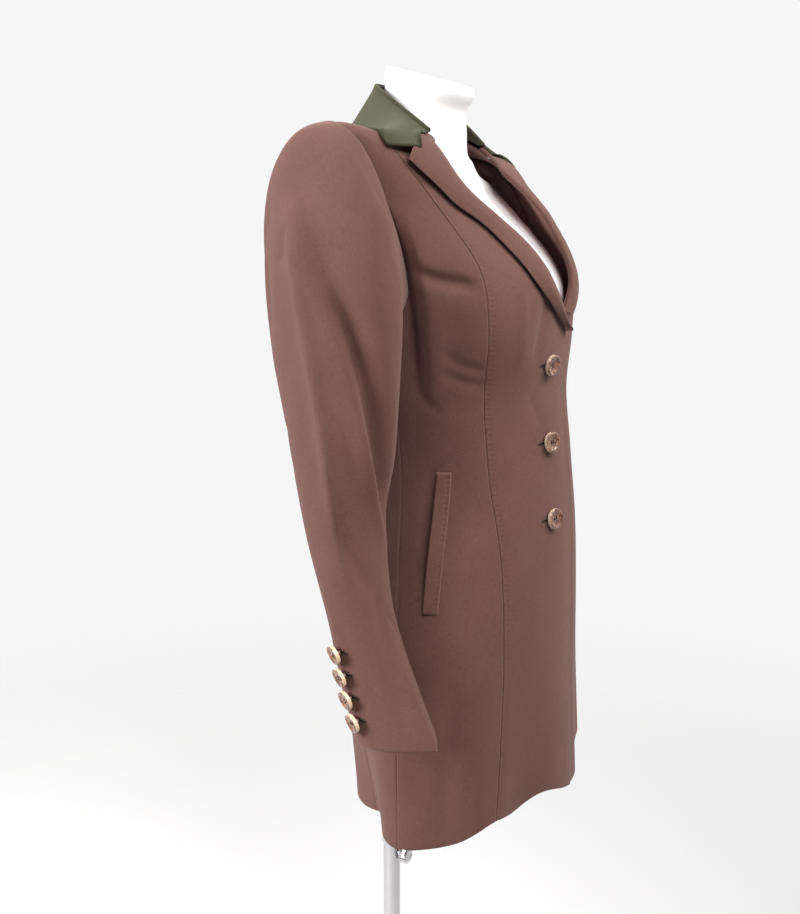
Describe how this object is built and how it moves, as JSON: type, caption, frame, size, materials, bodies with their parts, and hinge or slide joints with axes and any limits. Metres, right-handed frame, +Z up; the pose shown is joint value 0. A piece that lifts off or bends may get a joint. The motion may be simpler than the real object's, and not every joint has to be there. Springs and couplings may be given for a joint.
{
  "type": "long blazer on a dress form",
  "caption": "Long fitted blazer with a notched lapel, contrast collar and horn buttons, worn by a limbless dress form on a telescopic pole stand.",
  "frame": {"origin": "on the floor, under the axis of the stand's pole", "axes": "+Z up, -Y out of the blazer's front, -X to the wearer's right"},
  "size_m": [0.5769, 0.391, 1.461],
  "materials": {
    "brown_cloth": "matte linen-like weave",
    "green_felt": "matte felt",
    "horn": "polished horn",
    "white_plastic": "satin white",
    "chrome": "polished",
    "painted_steel": "satin grey"
  },
  "bodies": {
    "stand": {"base_plate": "painted_steel", "pole_outer": "chrome"},
    "screw": {"clamp_screw": "chrome"},
    "form": {"form_torso": "white_plastic", "pole_inner": "chrome", "collar": "green_felt", "back": "brown_cloth", "front_right": "brown_cloth", "front_left": "brown_cloth", "side_front_right": "brown_cloth", "side_front_left": "brown_cloth", "side_back_right": "brown_cloth", "side_back_left": "brown_cloth", "lapel_right": "brown_cloth", "lapel_left": "brown_cloth", "welt_right": "brown_cloth", "welt_left": "brown_cloth", "top_sleeve_right": "brown_cloth", "top_sleeve_left": "brown_cloth", "under_sleeve_right": "brown_cloth", "under_sleeve_left": "brown_cloth", "front_button_1": "horn", "front_button_2": "horn", "front_button_3": "horn", "cuff_button_right_1": "horn", "cuff_button_right_2": "horn", "cuff_button_right_3": "horn", "cuff_button_right_4": "horn", "cuff_button_left_1": "horn", "cuff_button_left_2": "horn", "cuff_button_left_3": "horn", "cuff_button_left_4": "horn"}
  },
  "joints": [
    {"name": "form_height", "type": "slide", "parent": "stand", "child": "form", "axis": [0, 0, 1], "range_m": [-0.1, 0.15]},
    {"name": "clamp_turn", "type": "hinge", "parent": "stand", "child": "screw", "pos_m": [0, 0, 0.564], "axis": [0, -1, 0], "range_deg": [0, 360]}
  ]
}
